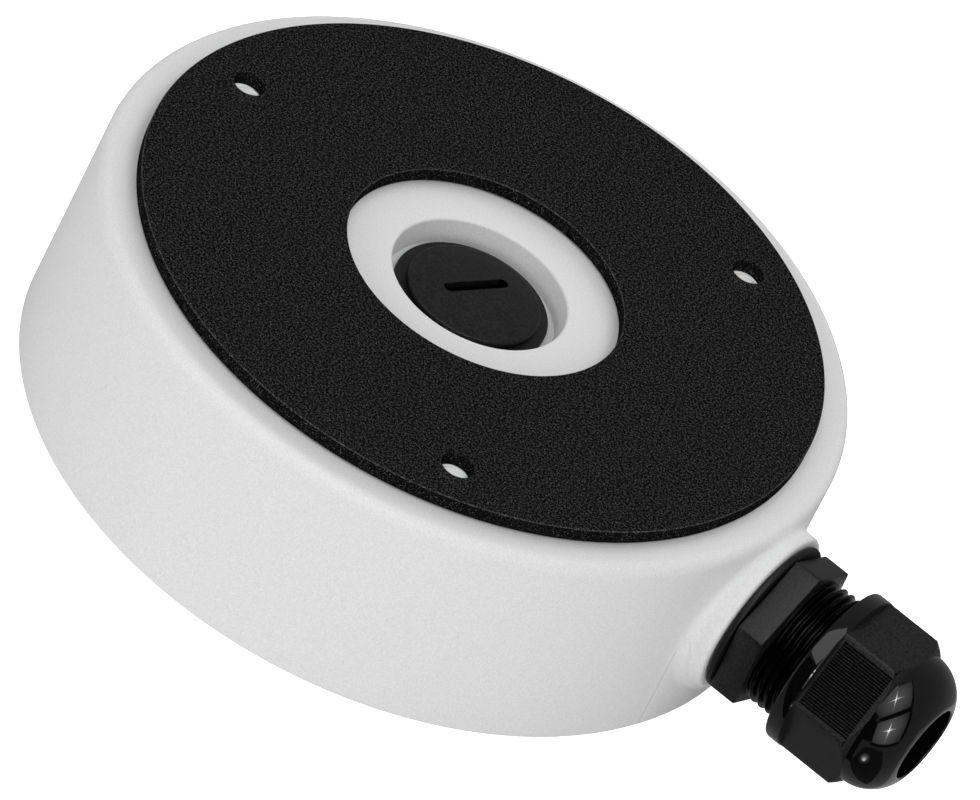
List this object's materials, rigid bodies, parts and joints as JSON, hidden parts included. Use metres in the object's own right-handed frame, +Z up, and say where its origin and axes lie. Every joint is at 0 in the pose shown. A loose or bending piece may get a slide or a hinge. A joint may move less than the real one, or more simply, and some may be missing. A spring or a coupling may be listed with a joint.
{
  "type": "camera junction box",
  "caption": "Round ceiling junction box for a camera: die-cast cup with a foam base gasket, a slotted blanking plug, a side cable gland with a domed nut and a recessed cover.",
  "frame": {"origin": "centre of the mounting plane, the outer face of the foam gasket, on the axis of the round housing", "axes": "+Z up into the ceiling that the box is screwed to, +X out along the cable gland, +Y across"},
  "size_m": [0.1688, 0.1318, 0.0403],
  "materials": {
    "white_powder_coat": "satin white powder coat on die-cast aluminium",
    "black_foam": "matt closed-cell foam",
    "black_nylon": "moulded black nylon, half gloss",
    "black_rubber": "matt black rubber",
    "stainless_steel": "plain stainless steel",
    "natural_nylon": "uncoloured nylon"
  },
  "bodies": {
    "box": {"box_body": "white_powder_coat", "base_gasket": "black_foam", "cover_plate": "white_powder_coat", "cover_seal": "black_rubber", "cover_screw_1": "stainless_steel", "cover_screw_2": "stainless_steel", "cover_screw_3": "stainless_steel", "cover_screw_4": "stainless_steel", "screw_retainer_1": "natural_nylon", "screw_retainer_2": "natural_nylon", "screw_retainer_3": "natural_nylon", "screw_retainer_4": "natural_nylon", "earth_screw": "stainless_steel", "earth_washer": "stainless_steel", "gland_washer": "black_rubber", "gland_body": "black_nylon"},
    "gland_clamp": {"gland_claw": "black_nylon", "gland_seal_insert": "black_rubber"},
    "dome_nut": {"gland_dome_nut": "black_nylon"},
    "plug_lift": {"plug_seal": "black_rubber"},
    "plug": {"blanking_plug": "black_nylon"}
  },
  "joints": [
    {"name": "nut_travel", "type": "slide", "parent": "box", "child": "gland_clamp", "axis": [1, 0, 0], "range_m": [0, 0.00451]},
    {"name": "nut_turn", "type": "hinge", "parent": "gland_clamp", "child": "dome_nut", "pos_m": [0.0877, 0, -0.02], "axis": [1, 0, 0], "range_deg": [0, 1080]},
    {"name": "plug_travel", "type": "slide", "parent": "box", "child": "plug_lift", "axis": [0, 0, 1], "range_m": [0, 0.00801]},
    {"name": "plug_turn", "type": "hinge", "parent": "plug_lift", "child": "plug", "pos_m": [0, 0, -0.006], "axis": [0, 0, 1], "range_deg": [0, 1920]}
  ],
  "couplings": [
    {"joint": "nut_travel", "follows": "nut_turn", "m_per_rad": 0.00023873},
    {"joint": "plug_travel", "follows": "plug_turn", "m_per_rad": 0.00023873}
  ]
}
